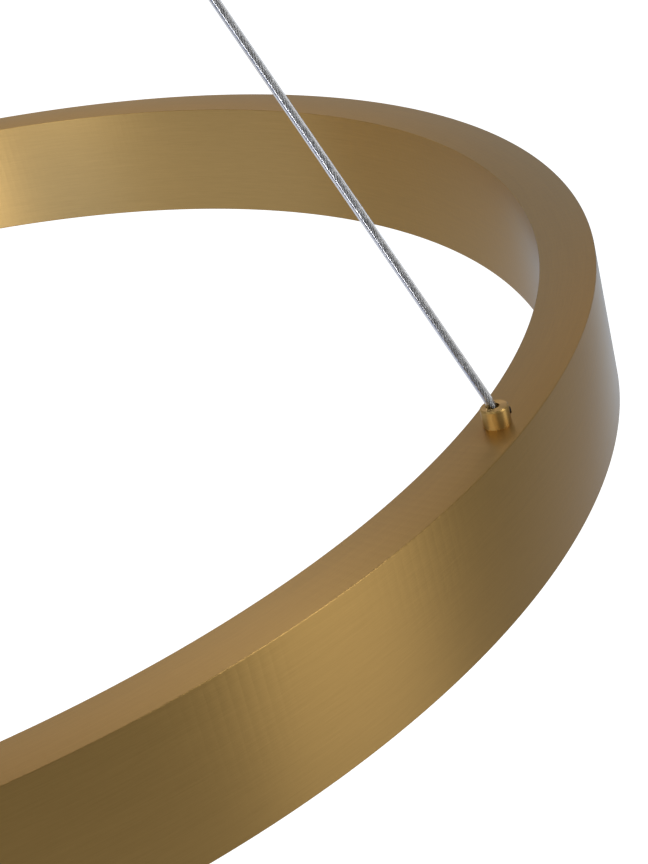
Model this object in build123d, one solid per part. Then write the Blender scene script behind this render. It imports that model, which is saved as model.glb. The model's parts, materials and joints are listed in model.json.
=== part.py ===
from build123d import *
import os
from math import atan2, cos, degrees, floor, pi, radians, sin, sqrt

# A ring pendant light. A channel rolled into a ring, lit from below, hangs on clear cables that run up
# to grippers under a ceiling canopy. Lengths are in millimetres and angles in degrees. The ceiling is
# z = 0, z points up, and the ring's axis is the z axis.

# Hanging layout
SUSPENSION_COUNT = 3
FIRST_SUSPENSION_ANGLE = 90.0
CEILING_TO_RING = 545.0
GRIPPER_EDGE_DISTANCE = 25.0
FULL_TURN = 360.0

# Ring channel, open below
RING_DIAMETER = 600.0
RING_WIDTH = 19.0
RING_HEIGHT = 48.5
SIDE_WALL = 1.6
TOP_WALL = 2.0
RING_EDGE_RADIUS = 0.4
GROOVE_HEIGHT = 1.8
GROOVE_DEPTH = 0.7
GROOVE_ABOVE_RIM = 5.0

# Light tray on standoffs under the top wall
STANDOFF_COUNT = 6
STANDOFF_LENGTH = 18.0
STANDOFF_ACROSS_FLATS = 5.5
STANDOFF_TURN = 30.0
TRAY_THICKNESS = 2.0
TRAY_SIDE_CLEARANCE = 0.3
TRAY_SCREW_DIAMETER = 2.5
TRAY_SCREW_HEAD_DIAMETER = 4.7
TRAY_SCREW_LENGTH = 9.0
TRAY_SCREW_TIP_CLEARANCE = 1.0

# Light strip and chips under the tray
STRIP_WIDTH = 10.0
STRIP_THICKNESS = 0.4
STRIP_END_GAP = 6.0
STRIP_START_ANGLE = 150.0
CHIP_LENGTH = 3.5
CHIP_WIDTH = 2.8
CHIP_HEIGHT = 0.8
CHIP_PITCH = 15.0

# Diffuser, snapped into the channel
DIFFUSER_THICKNESS = 2.0
DIFFUSER_PROUD = 0.6
DIFFUSER_LEG_HEIGHT = 9.0
DIFFUSER_LEG_THICKNESS = 1.2
DIFFUSER_CLEARANCE = 0.15
DIFFUSER_EDGE_RADIUS = 0.4

# Cable, with the sleeve crimped on each end
CABLE_DIAMETER = 2.8
CABLE_BEND_RADIUS = 8.4
CABLE_CLEARANCE = 0.1
STOP_DIAMETER = 5.0
STOP_LENGTH = 7.0

# Ferrule on the ring's top face
FERRULE_DIAMETER = 8.5
FERRULE_HEIGHT = 5.8
FERRULE_BORE_CLEARANCE = 0.2
FERRULE_RELIEF_CLEARANCE = 0.5
FERRULE_BEND_DEPTH = 1.0
FERRULE_CHAMFER = 0.4
SPIGOT_DIAMETER = 6.0
SPIGOT_PAST_NUT = 0.8
FERRULE_NUT_ACROSS_FLATS = 10.0
FERRULE_NUT_HEIGHT = 3.2
SET_SCREW_DIAMETER = 2.0
SET_SCREW_ABOVE_RING = 3.4
SET_SCREW_PROUD = 0.3
SET_SCREW_TURN = 32.0
SET_SCREW_SOCKET = 0.9
SET_SCREW_SOCKET_DEPTH = 0.8
THREAD_CLEARANCE = 0.05
HOLE_CLEARANCE = 0.1

# Canopy cover
CANOPY_DIAMETER = 180.0
CANOPY_HEIGHT = 38.0
CANOPY_WALL = 1.2
CANOPY_EDGE_RADIUS = 4.0
CANOPY_SHADOW_GAP = 0.5
CANOPY_SCREW_COUNT = 2
CANOPY_SCREW_BELOW_CEILING = 8.0
CANOPY_SCREW_DIAMETER = 4.0
CANOPY_SCREW_HEAD_DIAMETER = 7.6
CANOPY_SCREW_HEAD_HEIGHT = 2.4
CANOPY_SCREW_LENGTH = 9.0
CANOPY_SCREW_HOLE_CLEARANCE = 0.2

# Ceiling bracket
BRACKET_WIDTH = 30.0
BRACKET_THICKNESS = 2.0
BRACKET_EAR_HEIGHT = 14.0
BRACKET_BEND_RADIUS = 1.5
BRACKET_EAR_CORNER = 4.0
BRACKET_END_CLEARANCE = 1.0
SLOT_SPACING = 84.0
SLOT_WIDTH = 5.0
SLOT_LENGTH = 20.0
MAINS_HOLE_DIAMETER = 14.0
EARTH_SCREW_OFFSET = 19.5
EARTH_SCREW_DIAMETER = 4.0
EARTH_SCREW_HEAD_DIAMETER = 8.0
EARTH_SCREW_HEAD_HEIGHT = 2.6
SCREW_BELOW_CEILING = 0.2

# Terminal block under the bracket
TERMINAL_POLES = 3
TERMINAL_POLE_PITCH = 7.0
TERMINAL_END_WALL = 4.0
TERMINAL_WIDTH = 16.0
TERMINAL_HEIGHT = 13.0
TERMINAL_OFFSET_X = 19.5
TERMINAL_OFFSET_Y = -6.5
TERMINAL_EDGE_RADIUS = 1.0
TERMINAL_BORE = 3.2
TERMINAL_BORE_DEPTH = 6.0
TERMINAL_SCREW_SPACING = 8.4
TERMINAL_SCREW_DIAMETER = 3.2
TERMINAL_SCREW_LENGTH = 4.4
TERMINAL_SCREW_SLOT_WIDTH = 0.7
TERMINAL_SCREW_SLOT_DEPTH = 0.8
TERMINAL_FIXING_DIAMETER = 2.5
TERMINAL_FIXING_HEAD_DIAMETER = 4.5
TERMINAL_FIXING_HEAD_HEIGHT = 1.6

# Driver on the canopy floor
DRIVER_LENGTH = 110.0
DRIVER_WIDTH = 38.0
DRIVER_CASE_HEIGHT = 20.0
DRIVER_WALL = 1.6
DRIVER_CORNER_RADIUS = 3.0
DRIVER_NUT_CLEARANCE = 7.5
DRIVER_LID_THICKNESS = 2.0
DRIVER_LID_LIP = 1.5
DRIVER_LID_CLEARANCE = 0.15
DRIVER_LID_EDGE = 0.6
DRIVER_PAD_THICKNESS = 1.0
DRIVER_PAD_INSET = 4.0
BOARD_CLEARANCE = 1.0
BOARD_THICKNESS = 1.6
BOARD_POST_HEIGHT = 4.0
BOARD_POST_DIAMETER = 5.0
BOARD_POST_INSET = 4.0
TRANSFORMER_CORE = 18.0
TRANSFORMER_LIMB = 4.0
TRANSFORMER_DEPTH = 8.0
TRANSFORMER_COIL_DEPTH = 14.0
TRANSFORMER_HEIGHT = 11.0
CAPACITOR_DIAMETER = 8.0
CAPACITOR_HEIGHT = 11.0
CAPACITOR_EDGE = 0.8
CAPACITOR_OFFSET = 30.0

# Leads inside the canopy and the ring
LEAD_DIAMETER = 1.6
LEAD_BEND_RADIUS = 4.0
LEAD_INSIDE_CASE = 4.0
LEAD_SPACING = 8.0
LEAD_LID_CLEARANCE = 2.0
LEAD_END_CLEARANCE = 8.0
FEED_HOLE_DIAMETER = 3.0
FEED_COUNT = 2

# Cable gripper under the canopy floor
STUD_DIAMETER = 8.0
STUD_BORE = 3.6
STUD_IN_BODY = 5.0
STUD_PAST_NUT = 0.8
GRIPPER_NUT_ACROSS_FLATS = 13.0
GRIPPER_NUT_HEIGHT = 4.0
GRIPPER_DIAMETER = 12.0
GRIPPER_LENGTH = 18.0
GRIPPER_END_WALL = 3.0
GRIPPER_CHAMFER = 0.6
NIPPLE_DIAMETER = 6.0
NIPPLE_PROUD = 4.0
NIPPLE_CLEARANCE = 0.3
NIPPLE_FLANGE_DIAMETER = 7.4
NIPPLE_FLANGE_HEIGHT = 3.0
NIPPLE_BORE = 3.6
NIPPLE_MOUTH = 4.8
NIPPLE_FLARE_DEPTH = 1.2
BALL_COUNT = 3
BALL_DIAMETER = 1.6
BALL_CLEARANCE = 0.1
SPRING_WIRE = 0.6
SPRING_DIAMETER = 5.8
SPRING_TURNS = 4
SPRING_END_CLEARANCE = 0.1

# Reach of a cut past the face that it opens
CUT_REACH = 1.0

# Sizes worked out from the driving dimensions
ring_outer_radius = RING_DIAMETER / 2
ring_inner_radius = ring_outer_radius - RING_WIDTH
suspension_radius = ring_outer_radius - RING_WIDTH / 2
cavity_outer_radius = ring_outer_radius - SIDE_WALL
cavity_inner_radius = ring_inner_radius + SIDE_WALL
ring_top = -CEILING_TO_RING
ring_bottom = ring_top - RING_HEIGHT
cavity_top = ring_top - TOP_WALL
tray_top = cavity_top - STANDOFF_LENGTH
tray_bottom = tray_top - TRAY_THICKNESS
strip_bottom = tray_bottom - STRIP_THICKNESS
ferrule_mouth = ring_top + FERRULE_HEIGHT
spigot_length = TOP_WALL + FERRULE_NUT_HEIGHT + SPIGOT_PAST_NUT
lower_stop_top = ring_top - spigot_length
cable_low_end = lower_stop_top - STOP_LENGTH
canopy_radius = CANOPY_DIAMETER / 2
canopy_inner_radius = canopy_radius - CANOPY_WALL
canopy_underside = -CANOPY_HEIGHT
canopy_floor = canopy_underside + CANOPY_WALL
gripper_radius = canopy_radius - GRIPPER_EDGE_DISTANCE
gripper_nut_radius = GRIPPER_NUT_ACROSS_FLATS / sqrt(3)
stud_rise = CANOPY_WALL + GRIPPER_NUT_HEIGHT + STUD_PAST_NUT
upper_stop_bottom = canopy_underside + stud_rise
cable_top_end = upper_stop_bottom + STOP_LENGTH
nipple_mouth = canopy_underside - GRIPPER_LENGTH - NIPPLE_PROUD
bracket_half_length = sqrt((canopy_inner_radius - BRACKET_END_CLEARANCE) ** 2 - (BRACKET_WIDTH / 2) ** 2)
terminal_length = (TERMINAL_POLES - 1) * TERMINAL_POLE_PITCH + 2 * TERMINAL_END_WALL
terminal_bottom = -BRACKET_THICKNESS - TERMINAL_HEIGHT
terminal_bore_height = -BRACKET_THICKNESS - TERMINAL_HEIGHT / 2
driver_offset_y = gripper_radius - gripper_nut_radius - DRIVER_NUT_CLEARANCE - DRIVER_WIDTH / 2
driver_bottom = canopy_floor + DRIVER_PAD_THICKNESS
driver_top = driver_bottom + DRIVER_CASE_HEIGHT
lid_top = driver_top + DRIVER_LID_THICKNESS
board_bottom = driver_bottom + DRIVER_WALL + BOARD_POST_HEIGHT
board_top = board_bottom + BOARD_THICKNESS
board_length = DRIVER_LENGTH - 2 * (DRIVER_WALL + BOARD_CLEARANCE)
board_width = DRIVER_WIDTH - 2 * (DRIVER_WALL + BOARD_CLEARANCE)
lead_height = board_top + LEAD_DIAMETER / 2 + HOLE_CLEARANCE
lead_drop_x = DRIVER_LENGTH / 2 + LEAD_END_CLEARANCE
suspension_angles = [
    FIRST_SUSPENSION_ANGLE + FULL_TURN * i / SUSPENSION_COUNT for i in range(SUSPENSION_COUNT)
]
side_screw_angles = [FULL_TURN * i / CANOPY_SCREW_COUNT for i in range(CANOPY_SCREW_COUNT)]
standoff_angles = [
    FIRST_SUSPENSION_ANGLE + STANDOFF_TURN + FULL_TURN * i / STANDOFF_COUNT for i in range(STANDOFF_COUNT)
]


def rectangle_between(left, low, right, high):
    """Rectangle given by its low left corner and its high right corner."""
    return Pos((left + right) / 2, (low + high) / 2) * Rectangle(right - left, high - low)


def turned(section, arc=FULL_TURN):
    """Solid turned about the z axis from a section of radius and height."""
    return revolve(Plane.XZ * section, Axis.Z, arc)


def rod(diameter, low, high):
    """Upright round bar on the z axis."""
    return Pos(0, 0, (low + high) / 2) * Cylinder(diameter / 2, high - low)


def hexagon_bar(across_flats, low, high):
    """Upright six-sided bar on the z axis."""
    outline = RegularPolygon(across_flats / 2, 6, major_radius=False)
    return Pos(0, 0, low) * extrude(outline, high - low)


def block(length, width, low, high):
    """Upright box centred on the z axis."""
    return Pos(0, 0, (low + high) / 2) * Box(length, width, high - low)


def at_ring(angle):
    """Seat of a ferrule on the ring's top face, with local x pointing outwards."""
    return Rot(0, 0, angle) * Pos(suspension_radius, 0, ring_top)


def at_canopy(angle):
    """Seat of a gripper under the canopy, with local x pointing outwards and local z down."""
    return Rot(0, 0, angle) * Pos(gripper_radius, 0, canopy_underside) * Rot(180, 0, 0)


def tube(points, diameter, bend_radius):
    """Round lead or cable along straight runs joined by arcs."""
    path = FilletPolyline(*points, radius=bend_radius)
    section = Plane(origin=path @ 0, z_dir=path % 0) * Circle(diameter / 2)
    return sweep(section, path=path)


# Ring


def ring_channel():
    """Channel of the ring, closed on top, with snap grooves near its rim and holes for the ferrules."""
    outline = rectangle_between(ring_inner_radius, ring_bottom, ring_outer_radius, ring_top)
    outline = fillet(outline.vertices(), RING_EDGE_RADIUS)
    hollow = rectangle_between(
        cavity_inner_radius, ring_bottom - CUT_REACH, cavity_outer_radius, cavity_top
    )
    groove_low = ring_bottom + GROOVE_ABOVE_RIM
    groove = rectangle_between(
        cavity_inner_radius - GROOVE_DEPTH,
        groove_low,
        cavity_outer_radius + GROOVE_DEPTH,
        groove_low + GROOVE_HEIGHT,
    )
    channel = turned(outline - hollow - groove)
    for angle in suspension_angles:
        hole = rod(SPIGOT_DIAMETER + 2 * HOLE_CLEARANCE, -TOP_WALL - CUT_REACH, CUT_REACH)
        channel -= at_ring(angle) * hole
    return channel


def diffuser():
    """Opal cover with two sprung legs whose barbs sit in the channel's grooves."""
    inner = cavity_inner_radius + DIFFUSER_CLEARANCE
    outer = cavity_outer_radius - DIFFUSER_CLEARANCE
    face_low = ring_bottom - DIFFUSER_PROUD
    leg_top = face_low + DIFFUSER_LEG_HEIGHT
    outline = rectangle_between(inner, face_low, outer, leg_top)
    outline = fillet(outline.vertices().group_by(Axis.Y)[0], DIFFUSER_EDGE_RADIUS)
    hollow = rectangle_between(
        inner + DIFFUSER_LEG_THICKNESS,
        face_low + DIFFUSER_THICKNESS,
        outer - DIFFUSER_LEG_THICKNESS,
        leg_top + CUT_REACH,
    )
    barb_low = ring_bottom + GROOVE_ABOVE_RIM + DIFFUSER_CLEARANCE
    barb_high = barb_low + GROOVE_HEIGHT - 2 * DIFFUSER_CLEARANCE
    section = outline - hollow
    for root, way in ((inner, -1), (outer, 1)):
        tip = root + way * GROOVE_DEPTH
        section += make_face(Polyline((root, barb_low), (tip, barb_low), (root, barb_high), close=True))
    return turned(section)


def tray_standoffs():
    """Threaded posts under the top wall."""
    posts = []
    for angle in standoff_angles:
        post = hexagon_bar(STANDOFF_ACROSS_FLATS, tray_top, cavity_top)
        thread_end = tray_bottom + TRAY_SCREW_LENGTH + TRAY_SCREW_TIP_CLEARANCE
        thread = rod(TRAY_SCREW_DIAMETER + 2 * THREAD_CLEARANCE, tray_top - CUT_REACH, thread_end)
        posts.append(Rot(0, 0, angle) * Pos(suspension_radius, 0, 0) * (post - thread))
    return Compound(children=posts)


def countersunk_head(clearance):
    """Cone of a countersunk head, flush with the tray's underside."""
    widest = TRAY_SCREW_HEAD_DIAMETER / 2 + clearance
    narrowest = TRAY_SCREW_DIAMETER / 2 + clearance
    depth = widest - narrowest
    return Pos(0, 0, tray_bottom + depth / 2) * Cone(widest, narrowest, depth)


def tray_screws():
    """Countersunk screws that hold the tray to its standoffs."""
    screw = countersunk_head(0) + rod(TRAY_SCREW_DIAMETER, tray_bottom, tray_bottom + TRAY_SCREW_LENGTH)
    return Compound(
        children=[Rot(0, 0, angle) * Pos(suspension_radius, 0, 0) * screw for angle in standoff_angles]
    )


def light_tray():
    """Flat ring that carries the light strip, with screw holes and a hole for each feed lead."""
    tray = turned(
        rectangle_between(
            cavity_inner_radius + TRAY_SIDE_CLEARANCE,
            tray_bottom,
            cavity_outer_radius - TRAY_SIDE_CLEARANCE,
            tray_top,
        )
    )
    hole = rod(TRAY_SCREW_DIAMETER + 2 * HOLE_CLEARANCE, tray_bottom, tray_top + CUT_REACH)
    hole += countersunk_head(HOLE_CLEARANCE)
    for angle in standoff_angles:
        tray -= Rot(0, 0, angle) * Pos(suspension_radius, 0, 0) * hole
    feed_hole = rod(FEED_HOLE_DIAMETER, tray_bottom - CUT_REACH, tray_top + CUT_REACH)
    for angle in suspension_angles[:FEED_COUNT]:
        tray -= Rot(0, 0, angle) * Pos(suspension_radius, 0, 0) * feed_hole
    return tray


def strip_arc():
    """Angle that the light strip covers."""
    return FULL_TURN - degrees(STRIP_END_GAP / suspension_radius)


def light_strip():
    """Flexible circuit stuck under the tray, with a gap between its ends."""
    section = rectangle_between(
        suspension_radius - STRIP_WIDTH / 2,
        strip_bottom,
        suspension_radius + STRIP_WIDTH / 2,
        tray_bottom,
    )
    return Rot(0, 0, STRIP_START_ANGLE) * turned(section, strip_arc())


def light_chips():
    """Row of light chips along the strip."""
    count = floor(radians(strip_arc()) * suspension_radius / CHIP_PITCH)
    step = strip_arc() / count
    chip = block(CHIP_WIDTH, CHIP_LENGTH, strip_bottom - CHIP_HEIGHT, strip_bottom)
    return Compound(
        children=[
            Rot(0, 0, STRIP_START_ANGLE + (i + 0.5) * step) * Pos(suspension_radius, 0, 0) * chip
            for i in range(count)
        ]
    )


def set_screw_axis():
    """Axis of a ferrule's set screw, with local z pointing out of the ferrule."""
    return Pos(0, 0, SET_SCREW_ABOVE_RING) * Rot(0, 0, SET_SCREW_TURN) * Rot(0, 90, 0)


def cable_lean():
    """Angle between a cable's long run and the vertical."""
    rise = nipple_mouth - ferrule_mouth + FERRULE_BEND_DEPTH
    return degrees(atan2(suspension_radius - gripper_radius, rise))


def ferrule(angle):
    """Turned bush, relieved where the cable leans out, with a threaded spigot and a set screw's hole."""
    collar = rectangle_between(0, 0, FERRULE_DIAMETER / 2, FERRULE_HEIGHT)
    collar = chamfer(collar.vertices().sort_by(Axis.X)[-2:].sort_by(Axis.Y)[-1], FERRULE_CHAMFER)
    spigot = rectangle_between(0, -spigot_length, SPIGOT_DIAMETER / 2, 0)
    bush = turned(collar + spigot)
    bore = CABLE_DIAMETER + 2 * FERRULE_BORE_CLEARANCE
    bush -= rod(bore, -spigot_length - CUT_REACH, FERRULE_HEIGHT + CUT_REACH)
    relief = rod(CABLE_DIAMETER + 2 * FERRULE_RELIEF_CLEARANCE, 0, FERRULE_HEIGHT)
    bush -= Pos(0, 0, FERRULE_HEIGHT - FERRULE_BEND_DEPTH) * Rot(0, -cable_lean(), 0) * relief
    bush -= set_screw_axis() * rod(SET_SCREW_DIAMETER + 2 * THREAD_CLEARANCE, 0, FERRULE_DIAMETER)
    return at_ring(angle) * bush


def ferrule_set_screws():
    """Socket set screws that clamp the cables in the ferrules."""
    outer_end = FERRULE_DIAMETER / 2 + SET_SCREW_PROUD
    screw = rod(SET_SCREW_DIAMETER, CABLE_DIAMETER / 2 + CABLE_CLEARANCE, outer_end)
    screw -= hexagon_bar(SET_SCREW_SOCKET, outer_end - SET_SCREW_SOCKET_DEPTH, outer_end + CUT_REACH)
    return Compound(children=[at_ring(angle) * set_screw_axis() * screw for angle in suspension_angles])


def ferrule_nuts():
    """Hexagon nuts that hold the ferrules from inside the channel."""
    nut = hexagon_bar(FERRULE_NUT_ACROSS_FLATS, -TOP_WALL - FERRULE_NUT_HEIGHT, -TOP_WALL)
    nut -= rod(SPIGOT_DIAMETER + 2 * THREAD_CLEARANCE, -spigot_length, 0)
    return Compound(children=[at_ring(angle) * nut for angle in suspension_angles])


def stop_sleeve(low):
    """Sleeve crimped on a cable's end."""
    sleeve = rod(STOP_DIAMETER, low, low + STOP_LENGTH)
    return sleeve - rod(CABLE_DIAMETER + 2 * CABLE_CLEARANCE, low - CUT_REACH, low + STOP_LENGTH + CUT_REACH)


def lower_cable_stops():
    """Sleeves under the ferrules, which keep the cables from pulling out."""
    sleeve = stop_sleeve(cable_low_end)
    return Compound(
        children=[Rot(0, 0, angle) * Pos(suspension_radius, 0, 0) * sleeve for angle in suspension_angles]
    )


def feed_leads():
    """Leads from the cables down through the tray to the light strip."""
    lead = rod(LEAD_DIAMETER, tray_bottom, cable_low_end)
    return Compound(
        children=[
            Rot(0, 0, angle) * Pos(suspension_radius, 0, 0) * lead
            for angle in suspension_angles[:FEED_COUNT]
        ]
    )


# Cables


def cable_route(angle):
    """Points of a cable, from its end in the ring to its end in the canopy."""
    profile = [
        (suspension_radius, cable_low_end),
        (suspension_radius, ferrule_mouth - FERRULE_BEND_DEPTH),
        (gripper_radius, nipple_mouth),
        (gripper_radius, cable_top_end),
    ]
    return [(r * cos(radians(angle)), r * sin(radians(angle)), z) for r, z in profile]


def suspension_cable(angle):
    """Taut cable, bent over the mouths of its ferrule and its gripper."""
    return tube(cable_route(angle), CABLE_DIAMETER, CABLE_BEND_RADIUS)


# Grippers


def gripper_body(angle):
    """Sleeve that screws on the stud, with an end wall that holds the nipple in."""
    outline = rectangle_between(0, 0, GRIPPER_DIAMETER / 2, GRIPPER_LENGTH)
    outline = chamfer(outline.vertices().sort_by(Axis.X)[-2:].sort_by(Axis.Y)[-1], GRIPPER_CHAMFER)
    body = turned(outline)
    body -= rod(STUD_DIAMETER + 2 * THREAD_CLEARANCE, -CUT_REACH, GRIPPER_LENGTH - GRIPPER_END_WALL)
    body -= rod(NIPPLE_DIAMETER + 2 * NIPPLE_CLEARANCE, 0, GRIPPER_LENGTH + CUT_REACH)
    return at_canopy(angle) * body


def gripper_studs():
    """Hollow studs through the canopy floor."""
    stud = rod(STUD_DIAMETER, -stud_rise, STUD_IN_BODY)
    stud -= rod(STUD_BORE, -stud_rise - CUT_REACH, STUD_IN_BODY + CUT_REACH)
    return Compound(children=[at_canopy(angle) * stud for angle in suspension_angles])


def gripper_nuts():
    """Nuts on the studs, inside the canopy."""
    low = -CANOPY_WALL - GRIPPER_NUT_HEIGHT
    nut = hexagon_bar(GRIPPER_NUT_ACROSS_FLATS, low, -CANOPY_WALL)
    nut -= rod(STUD_DIAMETER + 2 * THREAD_CLEARANCE, low - CUT_REACH, 0)
    return Compound(children=[at_canopy(angle) * nut for angle in suspension_angles])


def nipple_flange_top():
    """Depth of the nipple flange's upper face below the canopy."""
    return GRIPPER_LENGTH - GRIPPER_END_WALL - NIPPLE_FLANGE_HEIGHT


def ball_places():
    """Places of the balls round the cable, in the nipple's flange."""
    radius = (CABLE_DIAMETER + BALL_DIAMETER) / 2 + BALL_CLEARANCE
    depth = nipple_flange_top() + NIPPLE_FLANGE_HEIGHT / 2
    step = FULL_TURN / BALL_COUNT
    return [Pos(0, 0, depth) * Rot(0, 0, i * step) * Pos(radius, 0, 0) for i in range(BALL_COUNT)]


def gripper_nipple(angle):
    """Nipple that is pushed up to free the cable, flanged inside the body and flared at its mouth."""
    flange = rectangle_between(
        0, nipple_flange_top(), NIPPLE_FLANGE_DIAMETER / 2, GRIPPER_LENGTH - GRIPPER_END_WALL
    )
    end = GRIPPER_LENGTH + NIPPLE_PROUD
    stem = rectangle_between(0, nipple_flange_top(), NIPPLE_DIAMETER / 2, end)
    nipple = turned(flange + stem)
    nipple -= rod(NIPPLE_BORE, 0, end + CUT_REACH)
    flare_centre = end - NIPPLE_FLARE_DEPTH / 2
    nipple -= Pos(0, 0, flare_centre) * Cone(NIPPLE_BORE / 2, NIPPLE_MOUTH / 2, NIPPLE_FLARE_DEPTH)
    for place in ball_places():
        nipple -= place * Rot(0, 90, 0) * Cylinder(BALL_DIAMETER / 2 + BALL_CLEARANCE, BALL_DIAMETER)
    return at_canopy(angle) * nipple


def gripper_balls(angle):
    """Balls that wedge on the cable."""
    ball = Sphere(BALL_DIAMETER / 2)
    return Compound(children=[at_canopy(angle) * place * ball for place in ball_places()])


def two_arcs(start, start_way, end, end_way):
    """Two arcs that join a start and an end, tangent to the way of the path at both."""
    chord = end - start
    along = start_way + end_way
    square = along.dot(along) - 4
    half = chord.dot(along)
    reach = (half - sqrt(half ** 2 - square * chord.dot(chord))) / square
    first_corner = start + start_way * reach
    second_corner = end - end_way * reach
    middle = (first_corner + second_corner) * 0.5
    return [
        TangentArc(start, middle, tangent=start_way),
        TangentArc(middle, end, tangent=second_corner - first_corner),
    ]


def gripper_spring(angle):
    """Compression spring between the stud and the nipple's flange."""
    low = STUD_IN_BODY + SPRING_WIRE / 2 + SPRING_END_CLEARANCE
    high = nipple_flange_top() - SPRING_WIRE / 2 - SPRING_END_CLEARANCE
    radius = (SPRING_DIAMETER - SPRING_WIRE) / 2
    quarters = 4 * SPRING_TURNS
    climb = (high - low) / (2 * pi * SPRING_TURNS)
    path = []
    for i in range(quarters):
        ends = []
        for turn in (i * pi / 2, (i + 1) * pi / 2):
            ends.append(Vector(radius * cos(turn), radius * sin(turn), low + climb * turn))
            ends.append(Vector(-radius * sin(turn), radius * cos(turn), climb).normalized())
        path += two_arcs(*ends)
    wire = Wire([edge for arc in path for edge in arc.edges()])
    section = Plane(origin=wire @ 0, z_dir=wire % 0) * Circle(SPRING_WIRE / 2)
    return at_canopy(angle) * sweep(section, path=wire)


def upper_cable_stops():
    """Sleeves above the studs, inside the canopy."""
    sleeve = stop_sleeve(upper_stop_bottom)
    return Compound(
        children=[Rot(0, 0, angle) * Pos(gripper_radius, 0, 0) * sleeve for angle in suspension_angles]
    )


# Canopy and bracket


def canopy_cover():
    """Spun cup against the ceiling, with holes for the grippers and for its side screws."""
    rim = -CANOPY_SHADOW_GAP
    outline = rectangle_between(0, canopy_underside, canopy_radius, rim)
    outline = fillet(
        outline.vertices().sort_by(Axis.X)[-2:].sort_by(Axis.Y)[0], CANOPY_EDGE_RADIUS
    )
    hollow = rectangle_between(0, canopy_floor, canopy_inner_radius, rim + CUT_REACH)
    hollow = fillet(
        hollow.vertices().sort_by(Axis.X)[-2:].sort_by(Axis.Y)[0], CANOPY_EDGE_RADIUS - CANOPY_WALL
    )
    cover = turned(outline - hollow)
    for angle in suspension_angles:
        cover -= at_canopy(angle) * rod(STUD_DIAMETER + 2 * HOLE_CLEARANCE, -CANOPY_EDGE_RADIUS, CUT_REACH)
    hole_diameter = CANOPY_SCREW_DIAMETER + 2 * CANOPY_SCREW_HOLE_CLEARANCE
    for turn in side_screw_angles:
        cover -= side_screw_axis(turn) * rod(hole_diameter, -CANOPY_EDGE_RADIUS, CUT_REACH)
    return cover


def side_screw_axis(turn):
    """Axis of a canopy side screw, with local z pointing out through the wall from its outer face."""
    return Rot(0, 0, turn) * Pos(canopy_radius, 0, -CANOPY_SCREW_BELOW_CEILING) * Rot(0, 90, 0)


def canopy_screws():
    """Pan-head screws through the canopy wall into the bracket's ears."""
    head = rod(CANOPY_SCREW_HEAD_DIAMETER, 0, CANOPY_SCREW_HEAD_HEIGHT)
    head = fillet(head.edges().group_by(Axis.Z)[-1], CANOPY_SCREW_HEAD_HEIGHT / 2)
    screw = head + rod(CANOPY_SCREW_DIAMETER, -CANOPY_SCREW_LENGTH, 0)
    return Compound(children=[side_screw_axis(turn) * screw for turn in side_screw_angles])


def ceiling_bracket():
    """Bent steel bar with slots for the ceiling screws, a hole for the mains cable and two tapped ears."""
    width = 2 * bracket_half_length
    outer_radius = BRACKET_BEND_RADIUS + BRACKET_THICKNESS
    outline = rectangle_between(-width / 2, -BRACKET_EAR_HEIGHT, width / 2, 0)
    outline = fillet(outline.vertices().group_by(Axis.Y)[-1], outer_radius)
    hollow = rectangle_between(
        -width / 2 + BRACKET_THICKNESS,
        -BRACKET_EAR_HEIGHT - CUT_REACH,
        width / 2 - BRACKET_THICKNESS,
        -BRACKET_THICKNESS,
    )
    hollow = fillet(hollow.vertices().group_by(Axis.Y)[-1], BRACKET_BEND_RADIUS)
    bar = extrude(Plane.XZ * (outline - hollow), BRACKET_WIDTH / 2, both=True)
    ear_corners = bar.edges().filter_by(Axis.X).group_by(Axis.Z)[0]
    bar = fillet(ear_corners, BRACKET_EAR_CORNER)
    low = -BRACKET_THICKNESS - CUT_REACH
    for side in (-1, 1):
        slot = extrude(SlotOverall(SLOT_LENGTH, SLOT_WIDTH), BRACKET_THICKNESS + 2 * CUT_REACH)
        bar -= Pos(side * SLOT_SPACING / 2, 0, low) * slot
    bar -= rod(MAINS_HOLE_DIAMETER, low, CUT_REACH)
    bar -= Pos(-EARTH_SCREW_OFFSET, 0, 0) * rod(EARTH_SCREW_DIAMETER + 2 * THREAD_CLEARANCE, low, CUT_REACH)
    for place in terminal_fixing_places():
        bar -= place * rod(TERMINAL_FIXING_DIAMETER + 2 * THREAD_CLEARANCE, low, CUT_REACH)
    ear_depth = canopy_radius - bracket_half_length + BRACKET_THICKNESS + CUT_REACH
    for turn in side_screw_angles:
        bar -= side_screw_axis(turn) * rod(CANOPY_SCREW_DIAMETER + 2 * THREAD_CLEARANCE, -ear_depth, 0)
    return bar


def earth_screw():
    """Screw for the earth wire, under the bracket."""
    head_low = -BRACKET_THICKNESS - EARTH_SCREW_HEAD_HEIGHT
    head = rod(EARTH_SCREW_HEAD_DIAMETER, head_low, -BRACKET_THICKNESS)
    head = fillet(head.edges().group_by(Axis.Z)[0], EARTH_SCREW_HEAD_HEIGHT / 2)
    shank = rod(EARTH_SCREW_DIAMETER, -BRACKET_THICKNESS, -SCREW_BELOW_CEILING)
    return Pos(-EARTH_SCREW_OFFSET, 0, 0) * (head + shank)


# Terminal block


def terminal_pole_places():
    """Places of the terminal block's poles."""
    first = TERMINAL_OFFSET_X - (TERMINAL_POLES - 1) * TERMINAL_POLE_PITCH / 2
    return [Pos(first + i * TERMINAL_POLE_PITCH, TERMINAL_OFFSET_Y, 0) for i in range(TERMINAL_POLES)]


def terminal_fixing_places():
    """Places of the fixing screws, between the poles."""
    first = TERMINAL_OFFSET_X - (TERMINAL_POLES - 2) * TERMINAL_POLE_PITCH / 2
    return [Pos(first + i * TERMINAL_POLE_PITCH, TERMINAL_OFFSET_Y, 0) for i in range(TERMINAL_POLES - 1)]


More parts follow.
